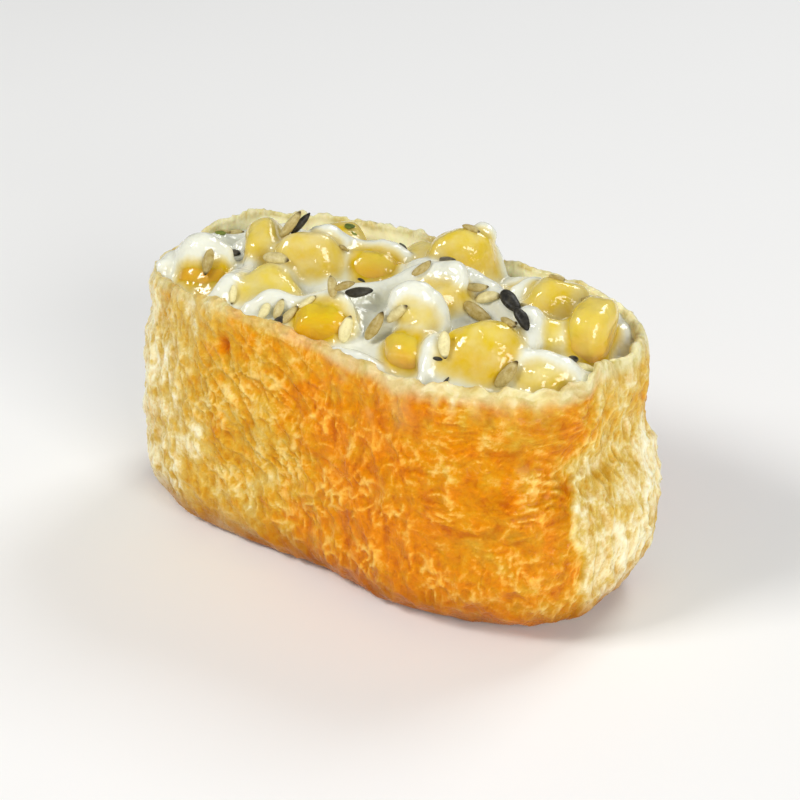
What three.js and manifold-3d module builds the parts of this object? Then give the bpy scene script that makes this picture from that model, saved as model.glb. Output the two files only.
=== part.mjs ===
// Inari sushi: a pouch of simmered fried tofu, open at the top, filled to above its rim with sweetcorn
// in mayonnaise. Millimetres, +Z up, the long side along X, the origin under the middle of the foot.
// The pouch, the salad that fills it and each large kernel on top are separate closed solids.
import * as THREE from "three";
import { mergeVertices } from "three/addons/utils/BufferGeometryUtils.js";
import Module from "manifold-3d";

// Driving dimensions.
const LENGTH = 67; // of the pouch at its belly, along X
const WIDTH = 34; // of the pouch at its belly, along Y
const RIM_HEIGHT = 31.5; // of the lip above the foot, on average
const SKIN = 2.0; // thickness of the tofu skin, which the lip rounds over
const FLOOR = 2.4; // thickness of the pouch's bottom
const GAP = 0.3; // kept between neighbouring solids
// A full-sized sweetcorn kernel. Squareness is its section's. Neck is the width at its tip, and tip and
// crown are how much of its length rounds off at each end, as shares.
const KERNEL = {
  length: 9.4,
  width: 8.2,
  thickness: 5.4,
  squareness: 2.6,
  neck: 0.52,
  tip: 0.2,
  crown: 0.4,
};

// The pouch's shape. Values by side change smoothly from one side of the pouch to the next.
const SQUARENESS = 3.1; // 2 is an ellipse, and more is closer to a rectangle
const RIM_LIFT = { right: -0.2, left: -1.0, front: -0.7, back: 1.4 }; // of the lip over RIM_HEIGHT
const RIM_SWELL = { angle: 252, rise: 1.7, spread: 26 }; // where the lip stands highest in front, in degrees
const RIM_LEAN = { right: 3.4, left: 1.0, front: 1.3, back: 1.0 }; // of the lip, inwards from the belly
const FOOT_INSET = { right: 7.2, left: 2.6, front: 4.2, back: 4.4 }; // of the flat foot from the belly
const FOOT_RISE = { right: 10, left: 7, front: 6.5, back: 6.5 }; // height at which the foot's curve ends
// The groove under the lip, deepest at the right end, where the bag's mouth was pinched.
const WAIST = {
  height: { right: 21, left: 25.5, front: 25, back: 24 },
  spread: { right: 5.4, left: 3.2, front: 3.4, back: 4 },
  inset: { right: 4.0, left: 1.0, front: 0.6, back: 0.8 },
};
const CREASE = { x: 1, inset: 0.9, spread: 8 }; // the broad shallow fold in the front
// The gentle lumps of a soft hand-filled bag, as waves round it that turn as they climb.
const LUMPS = [
  { lobes: 3, depth: 0.42, phase: 0.8, climb: 13 },
  { lobes: 5, depth: 0.3, phase: -1.2, climb: -8 },
  { lobes: 8, depth: 0.22, phase: 2.1, climb: 6 },
];
const LIP_WAVES = [
  { lobes: 4, depth: 0.35, phase: 3.6 },
  { lobes: 7, depth: 0.25, phase: 1.9 },
];
const CAVITY_FILLET = 3.5; // radius between the cavity's wall and floor

// The salad's top, as heights over or under the lip.
const FILL_LEVEL = { right: -1.9, left: -1.0, front: -0.9, back: -2.8 }; // where it meets the skin
const CROWN = 0.9; // in the middle
// Folds and dollops of mayonnaise that stand out of the crown.
const DOLLOPS = [
  { x: -24, y: -2, rise: 1.6, spread: 4.5 },
  { x: -15, y: 4, rise: 0.9, spread: 4 },
  { x: -3.5, y: -6, rise: 0.9, spread: 4.5 },
  { x: 5, y: 3, rise: 1.9, spread: 5.5 },
  { x: 14, y: 4.5, rise: 1.3, spread: 5 },
  { x: 15, y: -3, rise: 0.9, spread: 4 },
];

// Each large kernel: where its middle is, and how it lies. Heading is the compass direction that its
// crown leans to, anticlockwise from +X. Lean is from upright, and roll turns it about its own length.
// Degrees. Size is a share of KERNEL.
const KERNELS = [
  { x: -19.0, y: 0.6, z: 31.6, heading: 250, lean: 20, roll: 60, size: 0.9 },
  { x: -11.8, y: -1.2, z: 31.7, heading: 126, lean: 12, roll: 90, size: 1.02 },
  { x: -5.9, y: 3.7, z: 30.2, heading: 126, lean: 6, roll: 74, size: 0.92 },
  { x: -3.4, y: 9.2, z: 30.4, heading: 60, lean: 60, roll: 88, size: 0.82 },
  { x: 3.6, y: 9.6, z: 32.6, heading: 200, lean: 28, roll: 30, size: 0.98 },
  { x: 6.4, y: -0.2, z: 31.0, heading: 30, lean: 66, roll: 10, size: 1.0 },
  { x: 8.0, y: -5.6, z: 32.3, heading: 280, lean: 26, roll: 60, size: 0.66 },
  { x: 17.0, y: -7.3, z: 31.8, heading: 30, lean: 86, roll: 152, size: 0.98 },
  { x: -2.6, y: -9.9, z: 29.6, heading: 306, lean: 14, roll: 90, size: 0.9 },
  { x: -12.0, y: -8.2, z: 30.7, heading: 176, lean: 78, roll: 72, size: 0.9 },
  { x: -22.4, y: -7.9, z: 28.9, heading: 110, lean: 36, roll: 84, size: 0.8 },
  { x: 17.6, y: 7.6, z: 31.2, heading: 70, lean: 20, roll: 150, size: 0.9 },
  { x: 24.4, y: 4.8, z: 31.4, heading: 300, lean: 14, roll: 160, size: 1.0 },
  { x: 19.8, y: 0.6, z: 30.6, heading: 40, lean: 82, roll: 30, size: 0.74 },
  { x: 23.8, y: -4.8, z: 29.4, heading: 330, lean: 70, roll: 66, size: 0.72 },
  { x: 9.1, y: -9.1, z: 29.6, heading: 306, lean: 20, roll: 84, size: 0.78 },
  { x: 11.2, y: 9.6, z: 29.8, heading: 8, lean: 74, roll: 84, size: 0.82 },
  { x: -14.0, y: 8.6, z: 30.2, heading: 150, lean: 66, roll: 84, size: 0.9 },
];

// How finely the surfaces are divided.
const SEGMENTS = 54; // round the pouch and the salad
const FOOT_RINGS = 6; // over the foot's curve, closest together at the bottom
const FOOT_SHARE = 0.32; // of the height of the outside, which those rings take up
const WALL_RINGS = 8; // over the rest of the outside
const LIP_RINGS = 2; // over the lip
const CAVITY_LEVELS = [0, 0.02, 0.08, 0.3, 0.5, 0.62, 0.74, 0.86, 1]; // from the cavity's floor to the lip
const HEAP_RINGS = 9; // over the salad's top
const HEAP_CROWDING = 1.5; // 1 spaces those rings evenly, and more crowds them at the edge
const KERNEL_RINGS = 6;
const KERNEL_SEGMENTS = 10;

const rad = THREE.MathUtils.degToRad;

// How far a quarter-ellipse stands in from its widest place: all of `depth` at share 0, and 0 at share 1.
function quarterRound(share, depth) {
  const left = 1 - Math.min(share, 1);
  return depth * (1 - Math.sqrt(1 - left * left));
}

function bell(offset, spread) {
  return Math.exp(-((offset / spread) ** 2));
}

function bySide(values, angle) {
  const along = Math.cos(angle);
  const across = Math.sin(angle);
  const end = along > 0 ? values.right : values.left;
  const side = across > 0 ? values.back : values.front;
  return end * along * along + side * across * across;
}

function unevenness(angle, z) {
  return LUMPS.reduce((sum, w) => sum + w.depth * Math.sin(w.lobes * angle + w.phase + z / w.climb), 0);
}

function rimTop(angle) {
  const wave = LIP_WAVES.reduce((sum, w) => sum + w.depth * Math.sin(w.lobes * angle + w.phase), 0);
  const swell = RIM_SWELL.rise * bell(THREE.MathUtils.radToDeg(angle) - RIM_SWELL.angle, RIM_SWELL.spread);
  return RIM_HEIGHT + bySide(RIM_LIFT, angle) + wave + swell;
}

// How far the outside of the skin stands in from the belly's outline.
function skinInset(angle, z) {
  const foot = quarterRound(z / bySide(FOOT_RISE, angle), bySide(FOOT_INSET, angle));
  const waistHeight = bySide(WAIST.height, angle);
  const waist = bySide(WAIST.inset, angle) * bell(z - waistHeight, bySide(WAIST.spread, angle));
  const lean = bySide(RIM_LEAN, angle) * THREE.MathUtils.smoothstep(z, waistHeight, RIM_HEIGHT);
  const inFront = Math.max(0, -Math.sin(angle));
  const crease = CREASE.inset * inFront * bell((LENGTH / 2) * Math.cos(angle) - CREASE.x, CREASE.spread);
  return foot + waist + lean + crease + unevenness(angle, z);
}

// How far the cavity's wall stands in from the belly's outline, where the cavity starts at `floor`.
function cavityInset(angle, z, floor = FLOOR) {
  return skinInset(angle, z) + SKIN + quarterRound((z - floor) / CAVITY_FILLET, CAVITY_FILLET);
}

// How far a rounded square with sides at 1 reaches at an angle.
function squareReach(angle, squareness) {
  const along = Math.abs(Math.cos(angle)) ** squareness;
  const across = Math.abs(Math.sin(angle)) ** squareness;
  return (along + across) ** (-1 / squareness);
}

// The point of the belly's outline at an angle, moved inwards by an inset.
function outlinePoint(angle, inset) {
  const reach = squareReach(angle, SQUARENESS);
  return [(LENGTH / 2 - inset) * reach * Math.cos(angle), (WIDTH / 2 - inset) * reach * Math.sin(angle)];
}

// Numbers from `first` to `last` in `steps` equal steps, both ends included.
function spaced(first, last, steps) {
  return Array.from({ length: steps + 1 }, (_, i) => first + ((last - first) * i) / steps);
}

// A closed surface from rings of points between two poles. ringPoint(ring, angle) gives [x, y, z].
function closedSurface(rings, segments, ringPoint, firstPole, lastPole) {
  const positions = [...firstPole];
  for (const ring of rings)
    for (let i = 0; i < segments; i++) positions.push(...ringPoint(ring, (i * 2 * Math.PI) / segments));
  positions.push(...lastPole);
  const at = (ring, i) => 1 + ring * segments + (i % segments);
  const end = positions.length / 3 - 1;
  const faces = [];
  for (let i = 0; i < segments; i++) {
    faces.push(0, at(0, i + 1), at(0, i));
    for (let ring = 0; ring < rings.length - 1; ring++) {
      faces.push(at(ring, i), at(ring, i + 1), at(ring + 1, i + 1));
      faces.push(at(ring, i), at(ring + 1, i + 1), at(ring + 1, i));
    }
    faces.push(at(rings.length - 1, i), at(rings.length - 1, i + 1), end);
  }
  const geometry = new THREE.BufferGeometry();
  geometry.setAttribute("position", new THREE.Float32BufferAttribute(positions, 3));
  geometry.setIndex(faces);
  return geometry;
}

// The skin: out over the flat foot, up the outside, over the lip and down into the cavity.
function pouchGeometry() {
  const lip = SKIN / 2;
  const outside = (share) => (angle) => {
    const z = share * (rimTop(angle) - lip);
    return [skinInset(angle, z), z];
  };
  const overLip = (turn) => (angle) => {
    const z = rimTop(angle) - lip;
    return [skinInset(angle, z) + lip * (1 - Math.cos(turn)), z + lip * Math.sin(turn)];
  };
  const inside = (share) => (angle) => {
    const z = FLOOR + share * (rimTop(angle) - lip - FLOOR);
    return [cavityInset(angle, z), z];
  };
  const rings = [
    ...spaced(0, 1, FOOT_RINGS).map((step) => outside(FOOT_SHARE * step * step)),
    ...spaced(FOOT_SHARE, 1, WALL_RINGS).slice(1).map(outside),
    ...spaced(0, Math.PI, LIP_RINGS + 2).slice(1, -1).map(overLip),
    ...CAVITY_LEVELS.toReversed().map(inside),
  ];
  const ringPoint = (ring, angle) => {
    const [inset, z] = ring(angle);
    return [...outlinePoint(angle, inset), z];
  };
  return closedSurface(rings, SEGMENTS, ringPoint, [0, 0, 0], [0, 0, FLOOR]);
}

// Height of the salad's top over a place in the plan. Share is 0 at the middle and 1 at the skin.
function saladTop(x, y, share, angle) {
  const edge = rimTop(angle) + bySide(FILL_LEVEL, angle);
  const level = THREE.MathUtils.lerp(RIM_HEIGHT + CROWN, edge, share * share);
  const dollops = DOLLOPS.reduce((sum, d) => sum + d.rise * bell(Math.hypot(x - d.x, y - d.y), d.spread), 0);
  return level + dollops * Math.sqrt(1 - share ** 4);
}

// The salad: from the cavity's floor up its wall to the fill level, then in over the heaped top.
function saladGeometry() {
  const bottom = FLOOR + GAP;
  const wall = (share) => (angle) => {
    const top = rimTop(angle) + bySide(FILL_LEVEL, angle);
    const z = Math.min(top, bottom + share * (rimTop(angle) - SKIN / 2 - bottom));
    return [...outlinePoint(angle, cavityInset(angle, z, bottom) + GAP), z];
  };
  const heap = (share) => (angle) => {
    const top = rimTop(angle) + bySide(FILL_LEVEL, angle);
    const [x, y] = outlinePoint(angle, cavityInset(angle, top) + GAP).map((edge) => share * edge);
    return [x, y, saladTop(x, y, share, angle)];
  };
  const rings = [
    ...CAVITY_LEVELS.map(wall),
    ...spaced(0, 1, HEAP_RINGS).slice(1, -1).map((step) => heap(1 - step ** HEAP_CROWDING)),
  ];
  const pole = [0, 0, saladTop(0, 0, 0, 0)];
  return closedSurface(rings, SEGMENTS, (ring, angle) => ring(angle), [0, 0, bottom], pole);
}

// Half-size of a kernel's section along its length, as a share of its widest. Share 0 is the narrow tip
// that sat in the cob, and 1 is the top of the crown.
function kernelTaper(share) {
  const crownStart = 1 - KERNEL.crown;
  const body = THREE.MathUtils.lerp(KERNEL.neck, 1, THREE.MathUtils.smoothstep(share, 0, crownStart));
  const fromTip = Math.max(0, 1 - share / KERNEL.tip);
  const intoCrown = Math.max(0, (share - crownStart) / KERNEL.crown);
  return body * Math.sqrt((1 - fromTip ** 2) * (1 - intoCrown ** 2));
}

// A kernel, standing on its tip, grown on all sides by `grow`.
function kernelGeometry(size, grow) {
  const length = size * KERNEL.length + 2 * grow;
  const halfWidth = (size * KERNEL.width) / 2 + grow;
  const halfThickness = (size * KERNEL.thickness) / 2 + grow;
  const ringPoint = (share, angle) => {
    const reach = kernelTaper(share) * squareReach(angle, KERNEL.squareness);
    const x = halfWidth * reach * Math.cos(angle);
    const y = halfThickness * reach * Math.sin(angle);
    return [x, y, (share - 0.5) * length];
  };
  const rings = spaced(0, Math.PI, KERNEL_RINGS + 1)
    .slice(1, -1)
    .map((turn) => (1 - Math.cos(turn)) / 2);
  const tip = [0, 0, -length / 2];
  return closedSurface(rings, KERNEL_SEGMENTS, ringPoint, tip, [0, 0, length / 2]);
}

function place(mesh, kernel) {
  const lean = new THREE.Euler(0, rad(kernel.lean), rad(kernel.heading), "ZYX");
  const roll = new THREE.Quaternion().setFromAxisAngle(new THREE.Vector3(0, 0, 1), rad(kernel.roll));
  mesh.position.set(kernel.x, kernel.y, kernel.z);
  mesh.quaternion.setFromEuler(lean).multiply(roll);
  mesh.updateMatrixWorld();
  return mesh;
}

const wasm = await Module();
wasm.setup();

// A mesh's geometry, in its parent's frame, as a manifold-3d solid.
function solidOf(mesh) {
  const points = new THREE.BufferGeometry();
  points.setAttribute("position", mesh.geometry.getAttribute("position").clone());
  points.setIndex(mesh.geometry.index);
  const merged = mergeVertices(points.applyMatrix4(mesh.matrix), 1e-3);
  const vertProperties = merged.attributes.position.array;
  const triVerts = new Uint32Array(merged.index.array);
  return new wasm.Manifold(new wasm.Mesh({ numProp: 3, vertProperties, triVerts }));
}

function geometryOf(solid) {
  const mesh = solid.getMesh();
  const positions = [];
  for (let i = 0; i < mesh.numVert; i++)
    positions.push(...mesh.vertProperties.subarray(i * mesh.numProp, i * mesh.numProp + 3));
  const geometry = new THREE.BufferGeometry();
  geometry.setAttribute("position", new THREE.Float32BufferAttribute(positions, 3));
  geometry.setIndex(Array.from(mesh.triVerts));
  return geometry;
}

// The salad with a pocket for each kernel. Crumbs that a pocket cuts off are dropped.
function saladAround(kernels) {
  let salad = solidOf(new THREE.Mesh(saladGeometry()));
  for (const kernel of kernels) {
    const pocket = place(new THREE.Mesh(kernelGeometry(kernel.size, GAP)), kernel);
    salad = salad.subtract(solidOf(pocket));
  }
  const pieces = salad.decompose();
  pieces.sort((a, b) => b.volume() - a.volume());
  return geometryOf(pieces[0]);
}

function named(name, geometry, material) {
  const mesh = new THREE.Mesh(geometry, material);
  mesh.name = name;
  geometry.computeVertexNormals();
  return mesh;
}

const tofuSkin = new THREE.MeshStandardMaterial({ color: 0xe0a545, roughness: 0.42, metalness: 0 });
const mayonnaise = new THREE.MeshStandardMaterial({ color: 0xf1eddb, roughness: 0.25, metalness: 0 });
const sweetcorn = new THREE.MeshStandardMaterial({ color: 0xeebd3a, roughness: 0.25, metalness: 0 });

const inari = new THREE.Group();
inari.add(named("tofu_pouch", pouchGeometry(), tofuSkin));
inari.add(named("corn_mayo_salad", saladAround(KERNELS), mayonnaise));

const topping = new THREE.Group();
KERNELS.forEach((kernel, i) => {
  const name = "corn_kernel_" + String(i + 1).padStart(2, "0");
  topping.add(place(named(name, kernelGeometry(kernel.size, 0), sweetcorn), kernel));
});
inari.add(topping);

// The origin is under the middle of the whole.
const middle = new THREE.Box3().setFromObject(inari, true).getCenter(new THREE.Vector3());
inari.position.set(-middle.x, -middle.y, 0);

export default inari;
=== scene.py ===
"""Inari sushi: a pouch of simmered fried tofu, heaped with sweetcorn in mayonnaise, with sesame on top.

Shapes are worked out in millimetres, in the CAD model's frame. Meshes turn them into metres.
"""

import itertools
import math

import bpy
import numpy as np
import openvdb
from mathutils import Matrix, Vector
from mathutils.bvhtree import BVHTree


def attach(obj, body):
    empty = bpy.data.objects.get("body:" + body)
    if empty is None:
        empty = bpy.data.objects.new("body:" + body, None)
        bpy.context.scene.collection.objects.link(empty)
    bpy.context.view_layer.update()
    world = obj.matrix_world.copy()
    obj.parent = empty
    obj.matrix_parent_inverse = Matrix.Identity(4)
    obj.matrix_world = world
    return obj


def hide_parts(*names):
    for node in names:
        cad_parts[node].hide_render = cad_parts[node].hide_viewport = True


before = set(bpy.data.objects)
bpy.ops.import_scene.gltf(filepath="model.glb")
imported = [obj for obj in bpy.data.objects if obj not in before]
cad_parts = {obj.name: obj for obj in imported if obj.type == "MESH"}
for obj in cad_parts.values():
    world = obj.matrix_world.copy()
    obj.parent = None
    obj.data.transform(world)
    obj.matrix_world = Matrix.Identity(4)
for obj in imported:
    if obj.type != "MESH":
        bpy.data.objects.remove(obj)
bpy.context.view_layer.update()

MM = 0.001
DOWN = Vector((0, 0, -1))


# ---- numbers and noise


def smoothstep(low, high, value):
    share = np.clip((value - low) / (high - low), 0, 1)
    return share * share * (3 - 2 * share)


def bell(offset, spread):
    return np.exp(-((offset / spread) ** 2))


def unit(vectors):
    """The vectors, each made one long."""
    return vectors / np.maximum(np.linalg.norm(vectors, axis=-1, keepdims=True), 1e-9)


def lattice_noise(points, seed):
    """Smooth noise, from about -1 to 1, at each point, with lumps about one unit across."""
    chance = np.random.default_rng(seed)
    shuffle = chance.permutation(256)
    slopes = unit(chance.normal(size=(256, 3)))
    cell = np.floor(points).astype(int)
    part = points - cell
    ease = part**3 * (part * (part * 6 - 15) + 10)
    total = np.zeros(len(points))
    for corner in itertools.product((0, 1), repeat=3):
        x, y, z = ((cell + corner) & 255).T
        slope = slopes[shuffle[(shuffle[(shuffle[x] + y) & 255] + z) & 255]]
        weight = np.prod(np.where(corner, ease, 1 - ease), axis=1)
        total += weight * np.sum(slope * (part - corner), axis=1)
    return 1.6 * total


def noise(points, size, seed):
    """Noise with lumps of that size in millimetres, which may differ along X, Y and Z."""
    return lattice_noise(points / np.asarray(size, float), seed)


def ridged(points, size, seed):
    """Noise with sharp crests at 1 between rounded valleys at about 0."""
    return 1 - np.minimum(1, 2.2 * np.abs(noise(points, size, seed)))


def blurred(values, spread, axis=0, mode="edge", cut=3.0):
    """An array blurred along an axis by a bell of that spread, in cells, cut off at so many spreads."""
    reach = int(cut * spread) + 1
    weights = bell(np.arange(-reach, reach + 1), spread * math.sqrt(2))
    weights /= weights.sum()
    moved = np.moveaxis(values, axis, 0)
    padded = np.pad(moved, [(reach, reach)] + [(0, 0)] * (values.ndim - 1), mode=mode)
    total = sum(w * padded[i : i + len(moved)] for i, w in enumerate(weights))
    return np.moveaxis(total, 0, axis)


def warped(points, size, depth, seed):
    """The points, each moved about by up to about depth."""
    return points + depth * np.stack([noise(points, size, seed + axis) for axis in range(3)], axis=1)


# ---- meshes


def mesh_arrays(node):
    """A CAD node's vertices, in millimetres, and its triangles, with split vertices merged."""
    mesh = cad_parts[node].data
    mesh.calc_loop_triangles()
    points = np.zeros(len(mesh.vertices) * 3)
    mesh.vertices.foreach_get("co", points)
    points = np.round(points.reshape(-1, 3) / MM, 4)
    faces = np.zeros(len(mesh.loop_triangles) * 3, int)
    mesh.loop_triangles.foreach_get("vertices", faces)
    merged, index = np.unique(points, axis=0, return_inverse=True)
    return merged, index.reshape(-1)[faces].reshape(-1, 3)


def joined_tree(*meshes):
    """One tree to send rays at, of several (points, faces)."""
    starts = np.cumsum([0] + [len(points) for points, _ in meshes])
    points = np.concatenate([points for points, _ in meshes])
    faces = np.concatenate([faces + start for (_, faces), start in zip(meshes, starts)])
    return BVHTree.FromPolygons(points.tolist(), faces.tolist())


def add_object(name, data):
    obj = bpy.data.objects.new(name, data)
    bpy.context.scene.collection.objects.link(obj)
    return obj


def make_object(name, points, faces, material, attributes):
    """A smooth object from points in millimetres, with a number at each point for each attribute."""
    mesh = bpy.data.meshes.new(name)
    faces = faces if isinstance(faces, list) else faces.tolist()
    mesh.from_pydata((np.asarray(points) * MM).tolist(), [], faces)
    for key, values in attributes.items():
        layer = mesh.attributes.new(key, "FLOAT", "POINT")
        layer.data.foreach_set("value", np.asarray(values, np.float32))
    mesh.polygons.foreach_set("use_smooth", [True] * len(mesh.polygons))
    mesh.materials.append(material)
    mesh.update()
    return add_object(name, mesh)


def finish_piece(obj, slot, *nodes):
    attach(obj, "root")
    if nodes:
        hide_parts(*nodes)
    return obj


# ---- materials


def srgb(red, green, blue):
    """A colour as a screen shows it, 0 to 255, as the linear numbers that a shader takes."""
    shares = [value / 255 for value in (red, green, blue)]
    return [s / 12.92 if s <= 0.04045 else ((s + 0.055) / 1.055) ** 2.4 for s in shares] + [1.0]


class Shader:
    """A material and short ways to add nodes to it."""

    def __init__(self, name, **numbers):
        self.material = bpy.data.materials.new(name)
        self.material.use_nodes = True
        self.tree = self.material.node_tree
        self.surface = self.tree.nodes["Principled BSDF"]
        self.place = self.add("ShaderNodeTexCoord").outputs["Object"]
        for socket, value in numbers.items():
            self.surface.inputs[socket.replace("_", " ")].default_value = value

    def add(self, kind, inputs=None, **settings):
        node = self.tree.nodes.new(kind)
        for key, value in settings.items():
            setattr(node, key, value)
        for key, value in (inputs or {}).items():
            self.put(node.inputs[key], value)
        return node

    def put(self, socket, value):
        if isinstance(value, bpy.types.NodeSocket):
            self.tree.links.new(value, socket)
        else:
            socket.default_value = value

    def attribute(self, name):
        return self.add("ShaderNodeAttribute", attribute_name=name).outputs["Fac"]

    def noise(self, size, detail=2.0, roughness=0.5, stretch=(1, 1, 1), distortion=0.0):
        """Noise from 0 to 1 with lumps of that size in millimetres, times the stretch of each axis."""
        scaled = self.add("ShaderNodeMapping", {"Vector": self.place, "Scale": [1 / s for s in stretch]})
        inputs = {"Vector": scaled.outputs[0], "Scale": 1 / (size * MM), "Detail": detail}
        inputs |= {"Roughness": roughness, "Distortion": distortion}
        return self.add("ShaderNodeTexNoise", inputs).outputs[0]

    def ridges(self, size, sharpness=7.0, detail=3.0, stretch=(1, 1, 1)):
        """Thin crests at 1, winding between hollows at 0, that far apart in millimetres."""
        lumps = self.noise(size, detail, 0.6, stretch, distortion=0.5)
        away = self.math("ABSOLUTE", self.math("SUBTRACT", lumps, 0.5))
        return self.math("MULTIPLY_ADD", away, -sharpness, 1.0, clamp=True)

    def ramp(self, factor, *stops):
        """A colour ramp through (position, colour) stops."""
        node = self.add("ShaderNodeValToRGB", {"Fac": factor})
        elements = node.color_ramp.elements
        for _ in stops[2:]:
            elements.new(0.5)
        for element, (position, colour) in zip(elements, stops):
            element.position = position
            element.color = colour
        return node.outputs["Color"]

    def math(self, operation, first, second=0.0, third=0.0, clamp=False):
        inputs = {0: first, 1: second, 2: third}
        return self.add("ShaderNodeMath", inputs, operation=operation, use_clamp=clamp).outputs[0]

    def remap(self, value, low, high, new_low=0.0, new_high=1.0):
        inputs = {"Value": value, "From Min": low, "From Max": high}
        inputs |= {"To Min": new_low, "To Max": new_high}
        return self.add("ShaderNodeMapRange", inputs).outputs[0]

    def mix(self, factor, first, second):
        """Two colours mixed."""
        node = self.add("ShaderNodeMix", data_type="RGBA")
        for index, value in ((0, factor), (6, first), (7, second)):
            self.put(node.inputs[index], value)
        return node.outputs[2]

    def blend(self, factor, first, second):
        """Two numbers mixed."""
        return self.add("ShaderNodeMix", {0: factor, 2: first, 3: second}).outputs[0]

    def varied(self, name, pattern, by, clamp=True):
        """An attribute, up or down by as much as that number where a noise is high or low."""
        change = self.remap(pattern, 0.3, 0.7, -by, by)
        return self.math("ADD", self.attribute(name), change, clamp=clamp)

    def bump(self, *layers):
        """Bumps one on another, each a (height, depth in millimetres)."""
        normal = None
        for height, depth in layers:
            inputs = {"Height": height, "Distance": depth * MM, "Strength": 1.0}
            node = self.add("ShaderNodeBump", inputs)
            if normal:
                self.put(node.inputs["Normal"], normal)
            normal = node.outputs["Normal"]
        return normal

    def connect(self, **sockets):
        for socket, value in sockets.items():
            self.put(self.surface.inputs[socket.replace("_", " ")], value)
        return self.material


def tofu_material():
    """Wet fried tofu skin: amber in its hollows, darkened there with painted shade, and cream threads,
    lightened with painted highlight, that lie level on the right; painted shade darkens its foot.
    """
    shader = Shader(
        "tofu_skin",
        Subsurface_Weight=0.4,
        Subsurface_Radius=(1.0, 0.75, 0.35),
        Subsurface_Scale=1.0 * MM,
        IOR=1.33,
        Specular_IOR_Level=0.2,
        Specular_Tint=srgb(255, 236, 190),
        Coat_Roughness=0.05,
        Coat_IOR=1.4,
    )
    upright = shader.ridges(2.6, 5.0, 4, (1, 1, 2.2))
    level = shader.ridges(2.6, 5.0, 4, (2.2, 2.2, 1))
    threads = shader.blend(shader.attribute("sweep"), upright, level)
    flecks = shader.ridges(0.9, 4.5)
    tone = shader.varied("tone", shader.noise(2.2, 4, 0.65), 0.28)
    # Hollow colours: the skin's own amber, made darker as painted shade in its creases and pits.
    hollow = shader.ramp(
        tone,
        (0.0, srgb(222, 182, 96)),
        (0.2, srgb(196, 150, 46)),
        (0.45, srgb(192, 132, 8)),
        (0.75, srgb(192, 110, 0)),
        (1.0, srgb(190, 96, 0)),
    )
    body = shader.ramp(
        tone,
        (0.0, srgb(240, 226, 176)),
        (0.2, srgb(218, 188, 98)),
        (0.45, srgb(216, 166, 44)),
        (0.75, srgb(220, 146, 4)),
        (1.0, srgb(224, 134, 0)),
    )
    # Thread colours: cream fibres, going near white at the pale end as a painted wet highlight.
    thread_and_highlight = shader.ramp(
        tone,
        (0.0, srgb(252, 248, 224)),
        (0.2, srgb(240, 226, 174)),
        (0.5, srgb(246, 218, 134)),
        (1.0, srgb(250, 196, 80)),
    )
    paleness = shader.math("MULTIPLY_ADD", shader.attribute("crest"), 0.7, -0.2)
    paleness = shader.math("MULTIPLY_ADD", threads, 0.4, paleness)
    paleness = shader.math("MULTIPLY_ADD", flecks, 0.22, paleness, clamp=True)
    colour = shader.mix(shader.remap(paleness, 0.05, 0.5), hollow, body)
    colour = shader.mix(shader.remap(paleness, 0.5, 1.0), colour, thread_and_highlight)
    # Painted shade: the skin darkened to a deep brown near the foot of the pouch.
    foot_shaded = shader.mix(0.95, colour, srgb(154, 84, 0))
    colour = shader.mix(shader.attribute("foot_shade"), colour, foot_shaded)
    lip = shader.mix(paleness, srgb(198, 190, 112), srgb(246, 244, 214))
    colour = shader.mix(shader.attribute("lip"), colour, lip)
    # The inside of the rim: the inner skin's pale cream, made lighter still as painted light where the
    # inner wall lies in shade.
    colour = shader.mix(shader.remap(shader.attribute("lip"), 0.75, 0.95), colour, srgb(254, 247, 208))
    smear = shader.attribute("smear")
    colour = shader.mix(smear, colour, srgb(230, 212, 138))
    colour = shader.mix(shader.remap(smear, 0.4, 0.9), colour, srgb(248, 244, 222))
    gloss = shader.remap(shader.noise(1.0, 2), 0.3, 0.7, 0.2, 0.42)
    relief = shader.bump((threads, 0.1), (flecks, 0.03))
    wet = shader.bump((threads, 0.12), (shader.noise(0.5, 2), 0.16))
    film = shader.remap(shader.attribute("foot_shade"), 0.0, 1.0, 0.27, 0.0)
    finish = {"Roughness": gloss, "Normal": relief, "Coat_Weight": film, "Coat_Normal": wet}
    return shader.connect(Base_Color=colour, **finish)


def corn_colour(shader, yellow_and_shade):
    return shader.ramp(
        yellow_and_shade,
        (0.0, srgb(230, 130, 0)),
        (0.35, srgb(228, 166, 2)),
        (0.7, srgb(218, 184, 10)),
        (1.0, srgb(228, 204, 64)),
    )


def mayonnaise_material():
    shader = Shader(
        "mayonnaise",
        Subsurface_Weight=0.45,
        Subsurface_Radius=(1.0, 0.95, 0.8),
        Subsurface_Scale=1.6 * MM,
        Roughness=0.13,
        IOR=1.47,
        Coat_Weight=0.35,
        Coat_Roughness=0.04,
    )
    film = shader.varied("film", shader.noise(1.4), 0.08, clamp=False)
    milky = (0.3, srgb(150, 150, 150))
    thick = shader.ramp(film, (0.0, srgb(0, 0, 0)), milky, (0.85, srgb(255, 255, 255)))
    colour = shader.mix(thick, corn_colour(shader, shader.attribute("yellow_and_shade")), srgb(234, 235, 219))
    ripple = shader.bump((shader.noise(1.6, detail=2), 0.22), (shader.noise(0.6, detail=1), 0.05))
    return shader.connect(Base_Color=colour, Normal=ripple, Coat_Normal=ripple)


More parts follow.
